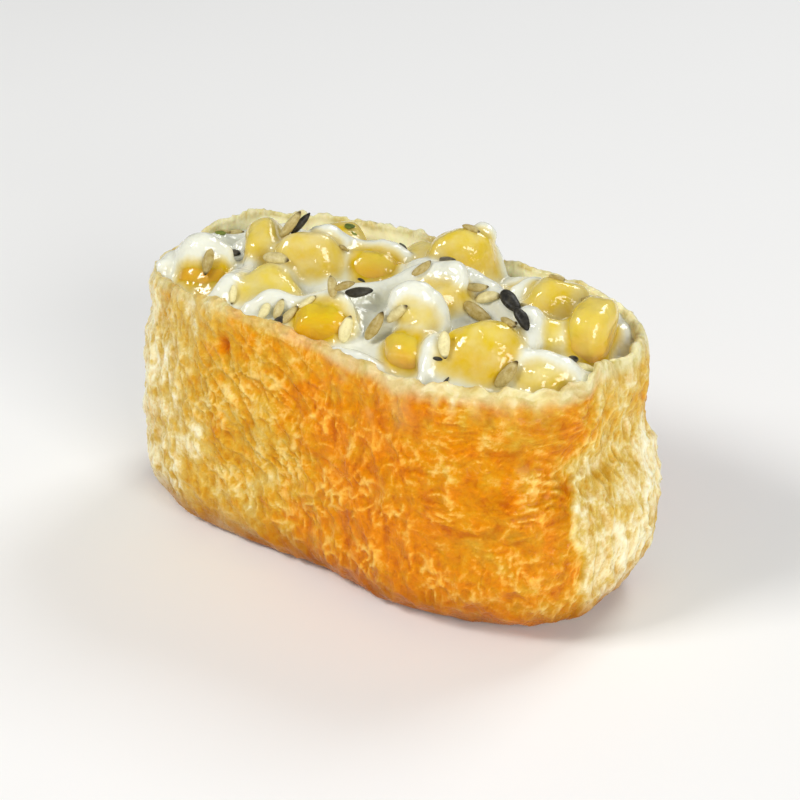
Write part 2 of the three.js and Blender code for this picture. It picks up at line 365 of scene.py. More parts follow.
def sweetcorn_material():
    shader = Shader(
        "sweetcorn",
        Subsurface_Weight=0.35,
        Subsurface_Radius=(1.2, 0.95, 0.15),
        Subsurface_Scale=1.5 * MM,
        Roughness=0.17,
        IOR=1.45,
        Coat_Weight=0.4,
        Coat_Roughness=0.05,
    )
    skin = corn_colour(shader, shader.varied("yellow_and_shade", shader.noise(3.0, detail=3), 0.1))
    colour = shader.mix(shader.attribute("milk"), skin, srgb(238, 228, 178))
    ripple = shader.bump((shader.noise(1.8, detail=2), 0.2), (shader.noise(0.7, detail=1), 0.05))
    return shader.connect(Base_Color=colour, Normal=ripple, Coat_Normal=ripple)


def seed_material(name, dark, light, tip, roughness):
    """A seed's skin, from dark to light by its shade, with another colour at its point."""
    shader = Shader(name, Roughness=roughness, IOR=1.4, Specular_IOR_Level=0.3)
    spots = shader.noise(0.6, detail=3, roughness=0.65)
    shade = shader.varied("shade", spots, 0.22)
    body = shader.ramp(shade, (0.0, srgb(*dark)), (1.0, srgb(*light)))
    point = shader.remap(shader.attribute("along"), 0.86, 0.97)
    colour = shader.mix(point, body, srgb(*tip))
    return shader.connect(Base_Color=colour, Normal=shader.bump((spots, 0.06)))


def floor_material():
    """White paper, a very little darker in places."""
    shader = Shader("floor_paper", Roughness=0.75)
    light = srgb(246, 246, 245)
    dark = [share * 0.985 for share in light[:3]] + [1]
    paper = shader.ramp(shader.noise(40, detail=1), (0.0, light), (1.0, dark))
    return shader.connect(Base_Color=paper)


# ---- the tofu pouch

AROUND = 620  # columns of the pouch's skin
FOOT_ROWS = 26
WALL_ROWS = 88
LIP_ROWS = 9
INNER_ROWS = 14
SQUARENESS = 3.1  # of the pouch's outline in plan
FOOT_CURVE = 7.0  # height of the rounding at the foot
SKIN = 2.0
LIP_SKIN = 0.98  # thickness at the torn edge
INNER_DEPTH = 6.5  # how far down the inside of the skin is finished, which is well under the salad
BOTTOM = (0.3, 0.7, 0.93)  # how far out each row under the pouch is, of the way to its foot
FIRST_INNER = len(BOTTOM) + FOOT_ROWS + WALL_ROWS + LIP_ROWS  # the first row on the inside
FAR = 80.0  # from where rays are sent in
LEAST_REACH = 5.0  # the least that the outside can be out from the spine
GROUND_GAP = 0.02  # how far over the ground the lowest rays go
OPEN_ABOVE = 15.0  # the height over which the inside is measured
UNDER_LIP = 29.0  # a height that the wall reaches all round
MEASURED_TOP = 34.0
MEASURED_ROWS = 110  # of the wall

# Places along the pouch, and how deep an orange the skin is at each. The values under 0 at the left end
# make its edge palest: painted reflected light.
BROWNING_AT = [-34, -30, -24, -18, -10, -4, 2, 8, 14, 22, 28]
BROWNING_AND_EDGE_LIGHT = [-0.45, -0.15, 0.18, 0.32, 0.44, 0.66, 0.86, 1.0, 0.96, 0.85, 0.8]
SMEARS = [  # place along the pouch, half width, depth under the lip, half height and strength
    (8.5, 4.0, 2.6, 2.6, 0.7),
    (19.0, 3.2, 1.0, 1.6, 0.8),
    (26.0, 2.6, 1.0, 1.4, 0.6),
    (-17.0, 2.5, 1.0, 1.6, 0.3),
]


class Outline:
    """Even steps round the pouch. Each has a start on the pouch's spine and a direction out from it."""

    def __init__(self, low, high):
        half = (high - low) / 2
        turn = np.linspace(0, 2 * math.pi, 6001)
        c, s = np.cos(turn), np.sin(turn)
        reach = (np.abs(c) ** SQUARENESS + np.abs(s) ** SQUARENESS) ** (-1 / SQUARENESS)
        x, y = half[0] * reach * c, half[1] * reach * s
        along = np.concatenate([[0], np.cumsum(np.hypot(np.diff(x), np.diff(y)))])
        steps = np.arange(AROUND) * along[-1] / AROUND
        x, y = np.interp(steps, along, x), np.interp(steps, along, y)
        spine = half[0] - half[1]
        self.start = np.stack([np.clip(x, -spine, spine), np.zeros(AROUND)], axis=1)
        self.out = unit(np.stack([x, y], axis=1) - self.start)

    def place(self, reach, z):
        """Points at those distances out from the spine, and those heights."""
        reach = np.broadcast_to(reach, (AROUND,))
        plan = self.start + self.out * reach[:, None]
        return np.column_stack([plan, np.broadcast_to(z, (AROUND,))])


def measure_skin(outline, tree):
    """Heights, and how far out the CAD pouch's outside and inside are at each, where it has them."""
    foot = FOOT_CURVE * (1 - np.cos(np.linspace(0, math.pi / 2, FOOT_ROWS, endpoint=False)))
    heights = np.concatenate([foot, np.linspace(FOOT_CURVE, MEASURED_TOP, MEASURED_ROWS)])
    outer = np.full((len(heights), AROUND), np.nan)
    inner = np.full((len(heights), AROUND), np.nan)
    for column in range(AROUND):
        start = Vector((*outline.start[column], 0))
        out = Vector((*outline.out[column], 0))
        for row, z in enumerate(heights):
            level = start + Vector((0, 0, max(z, GROUND_GAP)))
            place = tree.ray_cast(level + out * FAR, -out)[0]
            if place is not None and (place - level).dot(out) > LEAST_REACH:
                outer[row, column] = (place - level).dot(out)
            if z > OPEN_ABOVE:
                away = tree.ray_cast(level, out)[3]
                if away is not None:
                    inner[row, column] = away
    return heights, outer, inner


def lip_heights(outline, heights, outer, tree):
    near_top = np.argmin(np.abs(heights - UNDER_LIP))
    tops = np.zeros(AROUND)
    for column in range(AROUND):
        best = 0
        for back in (0.6, 1.0, 1.4):
            plan = outline.start[column] + outline.out[column] * (outer[near_top, column] - back)
            hit = tree.ray_cast(Vector((*plan, FAR)), DOWN)
            best = max(best, hit[0].z if hit[0] is not None else 0)
        tops[column] = best
    return blurred(tops, 5, mode="wrap")


def fill_gaps(grid):
    """Rows above the lip take the values of the highest row that has one."""
    for row in range(1, len(grid)):
        missing = np.isnan(grid[row])
        grid[row][missing] = grid[row - 1][missing]
    return grid


def lip_raggedness(outline):
    """The torn edge of the skin: how much higher or lower it is, and how much thicker."""
    edge = outline.place(17, 0)
    torn = 0.55 * noise(edge, 3.2, 11) + 0.25 * noise(edge, 1.3, 12) + 0.1 * noise(edge, 0.6, 13)
    torn *= 0.4 + 0.6 * np.maximum(smoothstep(-4, 12, edge[:, 0]), smoothstep(-8, 4, edge[:, 1]))
    thick = 1 + 0.28 * noise(edge, 4.5, 14) + 0.14 * noise(edge, 1.6, 15)
    return torn, thick


def skin_grid(outline, tree):
    """The smooth skin as rows of points: bottom, foot, wall, lip and inside."""
    heights, outer, inner = measure_skin(outline, tree)
    tops = lip_heights(outline, heights, outer, tree)
    outer = blurred(fill_gaps(outer), 3.5, 1, "wrap")
    inner = blurred(fill_gaps(np.where(np.isnan(inner), outer - SKIN, inner)), 3.5, 1, "wrap")
    outer = blurred(outer, 2.2)
    inner = blurred(inner, 2.2)
    torn, thick = lip_raggedness(outline)

    def at(grid, z):
        columns = np.arange(AROUND)
        where = np.interp(np.broadcast_to(z, (AROUND,)), heights, np.arange(len(heights)))
        below = np.minimum(where.astype(int), len(heights) - 2)
        share = where - below
        return grid[below, columns] * (1 - share) + grid[below + 1, columns] * share

    crown = tops - LIP_SKIN / 2 + torn
    lean = at(outer, crown)
    rows = [outline.place(outer[0] * share, 0.0) for share in BOTTOM]
    rows += [outline.place(outer[row], heights[row]) for row in range(FOOT_ROWS)]
    rows += [
        outline.place(at(outer, z), z)
        for z in (FOOT_CURVE + share * (crown - FOOT_CURVE) for share in np.linspace(0, 1, WALL_ROWS))
    ]
    for turn in np.linspace(0, math.pi, LIP_ROWS + 2)[1:-1]:
        half = LIP_SKIN / 2 * thick
        rows.append(outline.place(lean - half * (1 - math.cos(turn)), crown + half * math.sin(turn)))
    for share in np.linspace(0, 1, INNER_ROWS):
        z = crown - share * INNER_DEPTH
        meet = at(inner, z) * share + (lean - LIP_SKIN * thick) * (1 - share)
        rows.append(outline.place(meet, z))
    rows.append(outline.place(at(inner, crown - INNER_DEPTH) * 0.6, crown.min() - INNER_DEPTH))
    return np.array(rows)


def grid_normals(grid):
    """Normals that point out of a grid whose rows climb the outside and columns run anticlockwise."""
    round_it = np.roll(grid, -1, axis=1) - np.roll(grid, 1, axis=1)
    up_it = np.gradient(grid, axis=0)
    return unit(np.cross(round_it, up_it))


def end_sheet(points):
    """How far a point is inside the paler sheet that covers the right end, in millimetres."""
    x, y, z = points.T
    edge = 8.6 - 0.42 * np.maximum(z - 15, 0) - 0.12 * np.maximum(15 - z, 0)
    edge += 0.8 * noise(points, 2.6, 27) + 0.4 * noise(points, 0.9, 28)
    return np.minimum(edge + y, x - 25)


def sideways(points):
    """How much the skin is creased level with the ground, as on the right, rather than upright."""
    x, _, z = points.T
    return smoothstep(10, 20, x) * (1 - smoothstep(-1, 1, end_sheet(points))) * smoothstep(8, 15, z)


def pocket(points):
    """A small pit in the skin, near the lip on the left of the front."""
    return bell(np.linalg.norm((points - (-12.0, -16.5, 28.0)) * (1, 0.6, 0.7), axis=1), 0.85)


def wrinkles(points):
    """The fried skin's relief, in millimetres, and how much of a pale crest each point is: cream fibre,
    with painted highlight.
    """
    x, y, z = points.T
    bent = warped(points, 3.0, 0.9, 21)
    folds = ridged(bent, (3.4, 3.4, 10), 30)
    streaks = ridged(bent, (1.0, 1.0, 4.0), 31)
    creases = ridged(bent, (2.8, 2.8, 0.9), 32)
    crumple = ridged(bent, (1.4, 1.4, 2.2), 33)
    slanting = np.stack([0.62 * x + 0.78 * z, y, 0.78 * x - 0.62 * z], axis=1)
    slants = ridged(warped(slanting, 3.0, 0.7, 26), (1.5, 2, 6), 38)
    fine = ridged(warped(points, 1.2, 0.35, 24), (0.62, 0.62, 0.9), 34)
    sheet = end_sheet(points)
    end = np.clip(smoothstep(12, 24, -x) + smoothstep(-0.5, 0.5, sheet), 0, 1)
    right = sideways(points)
    middle = np.clip(1 - end - right, 0, 1)
    left = bell(x + 8, 14) * smoothstep(6, 16, z)
    crest = np.maximum(end * streaks + right * creases + middle * crumple, 0) ** 1.6
    crest = np.maximum(crest, 0.9 * left * slants**2)
    torn = bell(sheet, 0.4) * smoothstep(4, 8, z) * smoothstep(19, 14, z) * (x > 27)
    torn *= smoothstep(-0.5, 0.3, noise(points, 2.0, 29))
    crest = np.maximum(crest, torn)
    swell = 0.45 * noise(points, 5.5, 35) + 0.22 * noise(points, 2.4, 36)
    swell += 0.4 * np.maximum(end, 0.7 * middle) * np.maximum(folds, 0) ** 2
    swell += 0.35 * left * slants**2 + 0.28 * smoothstep(-0.3, 0.5, sheet)
    patch = smoothstep(-0.5, 0.5, noise(points, 4.0, 37))
    flat = 1 - 0.65 * smoothstep(5.5, 2.0, z)
    swell -= 0.65 * pocket(points)
    crest *= 1 - pocket(points)
    relief = swell + flat * ((0.12 + 0.22 * patch) * crest + 0.05 * fine**2) - 0.1
    return relief, flat * np.clip((0.4 + 0.6 * patch) * (0.85 * crest + 0.3 * fine**2) + 0.6 * torn, 0, 1)


def tofu_tone(points, top):
    """0 where the skin is pale straw, as at the ends and under the lip, to 1 where it is deep orange."""
    x, y, z = points.T
    lengthwise = np.interp(x, BROWNING_AT, BROWNING_AND_EDGE_LIGHT)
    # The tone along the pouch, with painted reflected light making the left edge palest.
    upper_left = smoothstep(13, 24, z) * smoothstep(12, 2, x)
    tone = lengthwise - 0.03 * upper_left + 0.22 * noise(points, 9, 41) + 0.16 * noise(points, 4, 42)
    tone += 0.5 * pocket(points) - 0.6 * smoothstep(4, 1, top - z) * smoothstep(4, 12, y)
    tone -= 0.7 * smoothstep(-1.0, 1.0, end_sheet(points)) * (1 - 0.6 * smoothstep(20, 25, z))
    under_lip = smoothstep(7.5, 1.5, top - z) * smoothstep(-4, 12, x)
    return np.clip(tone - 0.22 * under_lip, 0, 1)


def smears(points, top):
    """Where mayonnaise has been wiped over the front of the skin under the lip."""
    x, y, z = points.T
    patch = sum(
        strength * bell(x - place, half) * bell(top - z - depth, drop)
        for place, half, depth, drop, strength in SMEARS
    )
    broken = smoothstep(-0.3, 0.6, noise(points, (1.6, 1.6, 4.0), 46) + 0.3 * noise(points, 0.8, 47))
    return np.clip(patch * broken, 0, 0.7) * (y < 0)


def measure_pouch():
    """The smooth skin of the pouch, as skin_grid gives it."""
    points, faces = mesh_arrays("tofu_pouch")
    outline = Outline(points.min(axis=0)[:2], points.max(axis=0)[:2])
    return skin_grid(outline, joined_tree((points, faces)))


def ring_faces(rows, columns):
    """The faces between rows of points that each close on themselves."""
    here = np.arange(columns)
    after = (here + 1) % columns
    starts = np.arange(rows - 1)[:, None] * columns
    corners = (starts + here, starts + after, starts + columns + after, starts + columns + here)
    return np.stack([c.reshape(-1) for c in corners], axis=1)


def cap_faces(rows, columns):
    """Triangles that close the first and the last of those rows, each to a point after all of them."""
    here = np.arange(columns)
    after = (here + 1) % columns
    low, last = np.full(columns, rows * columns), (rows - 1) * columns
    below = np.stack([low, after, here], axis=1)
    return np.concatenate([below, np.stack([low + 1, last + here, last + after], axis=1)])


def outer_shell(grid):
    """The outside of the pouch, carried straight up past the lip and closed, as triangles."""
    outside = grid[: FIRST_INNER - LIP_ROWS : 2, ::2]
    above = outside[-1].copy()
    above[:, 2] = FIELD_HIGH[2] + 6
    rows = np.concatenate([outside, above[None]])
    points = rows.reshape(-1, 3)
    middles = [rows[0].mean(axis=0), rows[-1].mean(axis=0)]
    faces = [triangles(ring_faces(*rows.shape[:2])), cap_faces(*rows.shape[:2])]
    return np.concatenate([points, middles]), np.concatenate(faces)


def build_pouch(material, grid):
    rows = len(grid)
    smooth = grid.reshape(-1, 3)
    x, y, z = smooth.T
    normals = grid_normals(grid).reshape(-1, 3)
    relief, crest = wrinkles(smooth)
    row = np.repeat(np.arange(rows), AROUND)
    above_ground = smoothstep(0.0, 1.6, z)
    inside = smoothstep(FIRST_INNER - 4, FIRST_INNER + 2, row)
    right = smoothstep(-6, 14, x)
    top = np.tile(grid[FIRST_INNER, :, 2], rows)
    down = top - z
    near_lip = smoothstep(3.0, 0.5, down) * (0.4 + 0.6 * right)
    depth = (relief - 0.2) * above_ground * (1 - 0.7 * np.maximum(inside, near_lip))
    depth[row == rows - 1] = 0
    final = smooth + normals * depth[:, None]
    final[:, 2] = np.maximum(final[:, 2], 0)
    band = smoothstep(0.9 + 1.0 * right, 0.1, down + 0.4 * noise(smooth, 2.6, 48))
    band *= 0.35 + 0.4 * np.maximum(right, smoothstep(0, 8, y)) + 0.3 * noise(smooth, 2.0, 43)
    # rim: where the inside's pale cream goes, partly painted light.
    rim = (1.02 + 0.2 * noise(smooth, 3.0, 45)) * inside
    attributes = {
        "tone": tofu_tone(smooth, top),
        # Fewer pale crests within about 9 mm of the lip, so the band under it is darker: painted shade.
        "crest": crest * (1 - 0.35 * smoothstep(9, 3, down)),
        "sweep": sideways(smooth),
        "lip": np.clip(np.maximum(np.minimum(band, 0.82), rim), 0, 1),
        "smear": smears(smooth, top),
        # Painted shade, darker towards the foot of the pouch.
        "foot_shade": smoothstep(7.5, 1.0, z) * np.clip(0.8 + 0.5 * noise(smooth, 5, 44), 0, 1),
    }
    attributes = {key: np.concatenate([values, [0, 0]]) for key, values in attributes.items()}
    bottom = [grid[0, :, 0].mean(), 0.0, 0.0]
    final = np.concatenate([final, [bottom, grid[-1].mean(axis=0)]])
    faces = ring_faces(rows, AROUND).tolist() + cap_faces(rows, AROUND).tolist()
    pouch = make_object("tofu_skin", final, faces, material, attributes)
    return finish_piece(pouch, "tofu_skin", "tofu_pouch")


# ---- the heap as fields of distance

VOXEL = 0.27  # mm
FIELD_LOW = np.array([-33.5, -17.0, 25.9])
FIELD_HIGH = np.array([33.5, 17.0, 38.8])
BAND = 12  # how many voxels from a surface its distance is known
FAR_OUT = BAND * VOXEL


class Field:
    """Distances in millimetres on a block of voxels, less than nothing inside a body."""

    def __init__(self, low, high):
        self.first = np.floor(np.asarray(low) / VOXEL).astype(int)
        self.count = np.ceil(np.asarray(high) / VOXEL).astype(int) - self.first
        self.values = np.full(self.count, FAR_OUT)

    def axes(self):
        return [(self.first[a] + np.arange(self.count[a])) * VOXEL for a in range(3)]

    def points(self):
        return np.stack(np.meshgrid(*self.axes(), indexing="ij"), axis=-1).reshape(-1, 3)

    def window(self, low, high):
        """The part of the block between two corners, as slices."""
        start = np.maximum(np.floor(np.asarray(low) / VOXEL).astype(int) - self.first, 0)
        stop = np.minimum(np.ceil(np.asarray(high) / VOXEL).astype(int) - self.first, self.count)
        return tuple(slice(a, b) for a, b in zip(start, stop))

    def corners(self, window):
        """A field of the voxels in a window, to fill and to put back."""
        part = Field.__new__(Field)
        part.first = self.first + [s.start for s in window]
        part.count = np.array([s.stop - s.start for s in window])
        part.values = np.full(part.count, FAR_OUT)
        return part

    def sample(self, points):
        """Values between voxels, at points in millimetres."""
        place = np.clip(points / VOXEL - self.first, 0, self.count - 1.001)
        cell = place.astype(int)
        part = place - cell
        total = np.zeros(len(points))
        for corner in itertools.product((0, 1), repeat=3):
            weight = np.prod(np.where(corner, part, 1 - part), axis=1)
            total += weight * self.values[tuple((cell + corner).T)]
        return total


def measured(field, points, faces):
    """Fills a field with distances to a closed mesh."""
    scale = openvdb.createLinearTransform(voxelSize=VOXEL)
    grid = openvdb.FloatGrid.createLevelSetFromPolygons(
        np.asarray(points, np.float32),
        triangles=np.asarray(faces, np.uint32),
        transform=scale,
        halfWidth=BAND,
    )
    values = np.zeros(field.count, np.float32)
    grid.copyToArray(values, ijk=tuple(int(i) for i in field.first))
    field.values = values.astype(float)
    return field


def melted(first, second, blend):
    """The union of two bodies, whose meeting is rounded over about that many millimetres."""
    share = np.clip(0.5 + 0.5 * (second - first) / blend, 0, 1)
    return second * (1 - share) + first * share - blend * share * (1 - share)


def softened(values, spread):
    """An array blurred along each axis in turn."""
    for axis in range(values.ndim):
        values = blurred(values, spread, axis, cut=2.5)
    return values


# ---- sweetcorn


class Kernel:
    """How one grain of corn lies in the mayonnaise.

    Film, from 0 to 1, is how milky its bare side looks, and makes the mayonnaise there thicker. Coat is
    how thick the mayonnaise is on its covered side, and cap how much more lies on its top, in
    millimetres. Yellowness and shade is how light a yellow it is, from 0 to 1: its own hue, made more
    orange by painted shade where it lies in shadow in the heap. Its bare side faces a heading in plan,
    in degrees, and rises by another angle.
    """

    def __init__(self, film, coat, cap, yellowness_and_shade, heading, rise):
        self.film = film
        self.coat = coat
        self.cap = cap
        self.yellowness_and_shade = yellowness_and_shade
        turn, tilt = math.radians(heading), math.radians(rise)
        level = math.cos(tilt)
        self.bare_side = np.array([math.cos(turn) * level, math.sin(turn) * level, math.sin(tilt)])


KERNELS = [
    Kernel(0.5, 0.3, 0.1, 0.8, -40, 30),
    Kernel(0.56, 0.45, 0.2, 0.7, -90, 30),
    Kernel(0.1, 0.35, 0.25, 0.35, -60, 35),
    Kernel(0.55, 0.45, 0.1, 0.75, -60, 50),
    Kernel(0.5, 0.4, 0.0, 0.85, 110, 65),
    Kernel(0.5, 0.45, 0.2, 0.6, -40, 30),
    Kernel(0.62, 0.35, 0.15, 0.85, -60, 40),
    Kernel(0.5, 0.3, 0.0, 0.75, -80, 50),
    Kernel(0.05, 0.35, 0.3, 0.5, -62, 25),
    Kernel(0.52, 0.35, 0.05, 0.95, -60, 50),
    Kernel(0.05, 0.45, 0.35, 0.15, -55, 12),
    Kernel(0.5, 0.4, 0.0, 0.8, -120, 30),
    Kernel(0.2, 0.45, 0.0, 0.75, -20, 40),
    Kernel(0.45, 0.35, 0.05, 0.95, -50, 50),
    Kernel(0.5, 0.45, 0.3, 0.8, -60, 30),
    Kernel(0.1, 0.45, 0.2, 0.45, -60, 25),
    Kernel(0.5, 0.35, 0.0, 0.6, -60, 50),
    Kernel(0.5, 0.35, 0.0, 0.6, -60, 50),
]
BARE = -0.35  # mm, the coat of mayonnaise where a kernel is quite bare
KERNEL_LEVELS = 3  # times that a kernel's facets are subdivided
KERNEL_SQUARENESS = 2.7  # how flat a kernel's faces are: 2 would be an egg


def subdivided(points, faces, levels):
    """The vertices and faces of a closed mesh, with its facets rounded into a smooth skin."""
    mesh = bpy.data.meshes.new("rounding")
    mesh.from_pydata(points.tolist(), [], faces.tolist())
    obj = add_object("rounding", mesh)
    obj.modifiers.new("rounding", "SUBSURF").levels = levels
    rounded = bpy.data.meshes.new_from_object(obj.evaluated_get(bpy.context.evaluated_depsgraph_get()))
    place = np.zeros(len(rounded.vertices) * 3)
    rounded.vertices.foreach_get("co", place)
    corners = np.zeros(len(rounded.loops), int)
    rounded.loops.foreach_get("vertex_index", corners)
    bpy.data.objects.remove(obj)
    bpy.data.meshes.remove(mesh)
    bpy.data.meshes.remove(rounded)
    return place.reshape(-1, 3), corners.reshape(-1, 4)


def triangles(quads):
    return np.concatenate([quads[:, [0, 1, 2]], quads[:, [0, 2, 3]]])


def vertex_normals(points, quads):
    """Outward normals of a mesh of quads."""
    first, second, third, fourth = (points[quads[:, corner]] for corner in range(4))
    across = np.cross(third - first, fourth - second)
    normals = np.zeros_like(points)
    for corner in range(4):
        np.add.at(normals, quads[:, corner], across)
    return unit(normals)


def squared(points):
    """A rounded lump with its six sides made flatter and its size kept."""
    middle = (points.min(axis=0) + points.max(axis=0)) / 2
    _, axes = np.linalg.eigh(np.cov((points - middle).T))
    own = (points - middle) @ axes
    half = np.abs(own).max(axis=0)
    share = np.abs(own / half)
    round_reach = np.linalg.norm(share, axis=1)
    square_reach = np.sum(share**KERNEL_SQUARENESS, axis=1) ** (1 / KERNEL_SQUARENESS)
    return middle + (own * (round_reach / square_reach)[:, None]) @ axes.T


def yellowness_and_shade(kernel, top, points):
    """From 0, deep orange as low in the heap, to 1, light yellow as on top; the change with height is
    painted shade.
    """
    height = smoothstep(top - 6.0, top - 0.3, points[:, 2])
    # The kernel's own hue sets the range; the change with height within it is painted shade.
    lowest, highest = 0.9 * (kernel.yellowness_and_shade - 0.35), 0.4 + 0.6 * kernel.yellowness_and_shade
    return np.clip(lowest + (highest - lowest) * height + 0.12 * noise(points, 2.2, 53), 0, 1)


def build_kernels(material):
    """The grains of corn, and for each how it lies, its points in millimetres and its faces."""
    shapes = []
    for number, kernel in enumerate(KERNELS):
        name = f"kernel_{number + 1:02d}"
        node = "corn_" + name
        points, quads = subdivided(*mesh_arrays(node), KERNEL_LEVELS)
        points = squared(points)
        normals = vertex_normals(points, quads)
        own = points + 50 * number
        dents = 0.42 * noise(own, 3.6, 51) + 0.06 * noise(own, 1.1, 52)
        points = points + normals * dents[:, None]
        # Light yellow on top, more orange lower down as painted shade.
        yellow_and_shade = yellowness_and_shade(kernel, points[:, 2].max(), points)
        milk = kernel.film * np.clip(0.9 + 0.9 * noise(own, 2.4, 54), 0, 1.6)
        piece = make_object(name, points, quads, material, {"yellow_and_shade": yellow_and_shade, "milk": milk})
        finish_piece(piece, "sweetcorn", node)
        shapes.append((kernel, points, quads))
    return shapes


# ---- mayonnaise

# Thick strings and folds of mayonnaise: the radius, and the places in plan that each runs through.
FOLDS = [
    (1.6, (-2.5, -6.4), (-0.4, -3.6), (2, -1.6), (4.5, 1), (7.5, 1.8), (9.6, 0.8)),
    (1.6, (-1.5, 4.8), (4, 4.4), (8.5, 4.2), (12, 3.8), (15.5, 2.2), (18.5, 1), (20.5, -2), (21.5, -4.5)),
    (1.3, (4.2, -8), (6.2, -6.4), (8.4, -5.2), (10, -4.6), (11.7, -5.6)),
    (0.9, (-6.4, -9.7), (-4.4, -9.2), (-2.3, -8.2), (0, -8.5), (2, -9.4)),
    (1.3, (12.5, -8), (13, -10), (13.6, -12.6)),
    (1.2, (2.6, -14), (5.5, -13.4), (8, -13)),
    (1.1, (22.7, -6), (24.5, -4.2), (26.3, -3.8), (28.8, -4)),
    (2.0, (-28, -8.5), (-27.5, -6), (-24, -6), (-21.5, -4.6)),
    (1.5, (-17.8, -3.8), (-16.8, -7.7), (-15.6, -10.8), (-16, -13.4)),
    (1.2, (-10.8, -13), (-9, -10.7), (-6.2, -10.3)),
    (1.4, (-12.2, 1.7), (-10.6, 3), (-8.4, 5.2), (-5.4, 6.8), (-3, 7.1)),
    (1.1, (29, 0.1), (31, 0.6)),
    (0.9, (18.5, 4.2), (21.5, 4.4)),
    (1.3, (13, 7), (14.5, 9.5), (17, 12)),
    (1.3, (-24, 1), (-21, 5), (-16, 4.5)),
    (1.1, (2, 13), (7, 12.6), (12, 12.4)),
    (1.4, (14, 13), (19, 12.5), (24, 11), (27.5, 8)),
    (1.2, (25, -4.5), (28, -2), (29.5, 2), (29, 6)),
    (1.2, (-30, 0), (-28.5, 5), (-25, 8.5), (-21, 10)),
]

# Where the mayonnaise lies lower, in front of a kernel's bare side: its place, half width and depth.
HOLLOWS = [
    ((-3.0, -0.2), 3.4, 2.2),
    ((-2.0, -12.6), 3.0, 2.2),
    ((-20.5, -11.0), 2.8, 2.4),
    ((10.6, -12.0), 2.6, 1.6),
    ((27.5, 1.0), 2.4, 1.2),
    ((-7.5, -5.0), 2.6, 1.6),
    ((9.0, -3.6), 2.2, 1.0),
    ((21.0, -9.5), 3.0, 1.0),
    ((-27.0, 6.0), 4.0, 1.6),
    ((9.0, 12.0), 3.0, 0.8),
]


def smooth_path(places, step):
    """Points that close together along a smooth curve through places in plan."""
    places = np.asarray(places, float)
    ends = np.concatenate([[2 * places[0] - places[1]], places, [2 * places[-1] - places[-2]]])
    path = []
    for a, b, c, d in zip(ends, ends[1:], ends[2:], ends[3:]):
        for share in np.arange(0, 1, step / max(np.linalg.norm(c - b), step)):
            curve = 2 * b + (c - a) * share + (2 * a - 5 * b + 4 * c - d) * share**2
            path.append(0.5 * (curve + (3 * b - a - 3 * c + d) * share**3))
    return np.array(path + [places[-1]])


def filled_in(grid, known, rounds=500):
    """A grid whose unknown cells are drawn smoothly from the known ones round them."""
    grid = np.where(known, grid, grid[known].mean())
    for _ in range(rounds):
        padded = np.pad(grid, 1, mode="edge")
        spread = (padded[:-2, 1:-1] + padded[2:, 1:-1] + padded[1:-1, :-2] + padded[1:-1, 2:]) / 4
        grid = np.where(known, grid, spread)
    return grid


def salad_level(field, shapes):
    """How high the mayonnaise lies between the kernels, over the plan of the field."""
    salad = joined_tree(mesh_arrays("corn_mayo_salad"))
    corn = joined_tree(*[(points, quads) for _, points, quads in shapes])
    x, y, _ = field.axes()
    level = np.zeros((len(x), len(y)))
    known = np.zeros(level.shape, bool)
    steepest = 0.45
    for i, j in itertools.product(range(len(x)), range(len(y))):
        above = Vector((x[i], y[j], FAR))
        place, normal, _, _ = salad.ray_cast(above, DOWN)
        if place is None or normal.z < steepest or place.z < FIELD_LOW[2]:
            continue
        if corn.ray_cast(above, DOWN)[0] is None:
            level[i, j] = place.z
            known[i, j] = True
    level = softened(filled_in(level, known), 2)
    for (across, along), size, depth in HOLLOWS:
        away = np.hypot(x[:, None] - across, y[None, :] - along)
        level = level - depth * bell(away, size * 0.7)
    return level


def surface_heights(field):
    """The height of the highest surface over each place in plan."""
    inside = field.values < 0
    z = field.axes()[2]
    top = inside.shape[2] - 1 - np.argmax(inside[:, :, ::-1], axis=2)
    top = np.clip(top, 0, len(z) - 2)
    i, j = np.indices(top.shape)
    low, high = field.values[i, j, top], field.values[i, j, top + 1]
    share = np.clip(-low / np.maximum(high - low, 1e-6), 0, 1)
    return np.where(inside.any(axis=2), z[top] + share * VOXEL, z[0])


def height_at(field, heights, plan):
    place = plan / VOXEL - field.first[:2]
    cell = np.clip(np.round(place).astype(int), 0, field.count[:2] - 1)
    return heights[cell[:, 0], cell[:, 1]]


def coat_kernels(field, shapes):
    """Lays mayonnaise on each kernel. Returns the distances to the nearest one, and its yellowness with
    painted shade.
    """
    nearest = Field(FIELD_LOW, FIELD_HIGH)
    yellow_and_shade = Field(FIELD_LOW, FIELD_HIGH)
    yellow_and_shade.values[:] = 1
    for number, (kernel, points, quads) in enumerate(shapes):
        window = field.window(points.min(axis=0) - FAR_OUT, points.max(axis=0) + FAR_OUT)
        part = measured(field.corners(window), points, triangles(quads))
        here = part.points()
        top = points[:, 2].max()
        own = yellowness_and_shade(kernel, top, here).reshape(part.values.shape)
        yellow_and_shade.values[window] = np.where(part.values < nearest.values[window], own, yellow_and_shade.values[window])
        nearest.values[window] = np.minimum(nearest.values[window], part.values)
        half = (points.max(axis=0) - points.min(axis=0)).mean() / 2
        middle = (points.max(axis=0) + points.min(axis=0)) / 2
        side = (here - middle) @ kernel.bare_side / half + 0.3 * noise(here, 3.6, 61 + number)
        thin = BARE + kernel.film
        coat = thin + (kernel.coat - thin) * smoothstep(0.35, -0.55, side)
        uneven = 0.1 * noise(here, 1.5, 81 + number)
        coat += kernel.cap * smoothstep(top - 1.3, top - 0.1, here[:, 2]) + uneven
        coated = part.values - coat.reshape(part.values.shape)
        field.values[window] = melted(field.values[window], coated, 2.0)
    return nearest, yellow_and_shade


FOLD_STEP = 0.45  # mm between the beads that a fold is made of


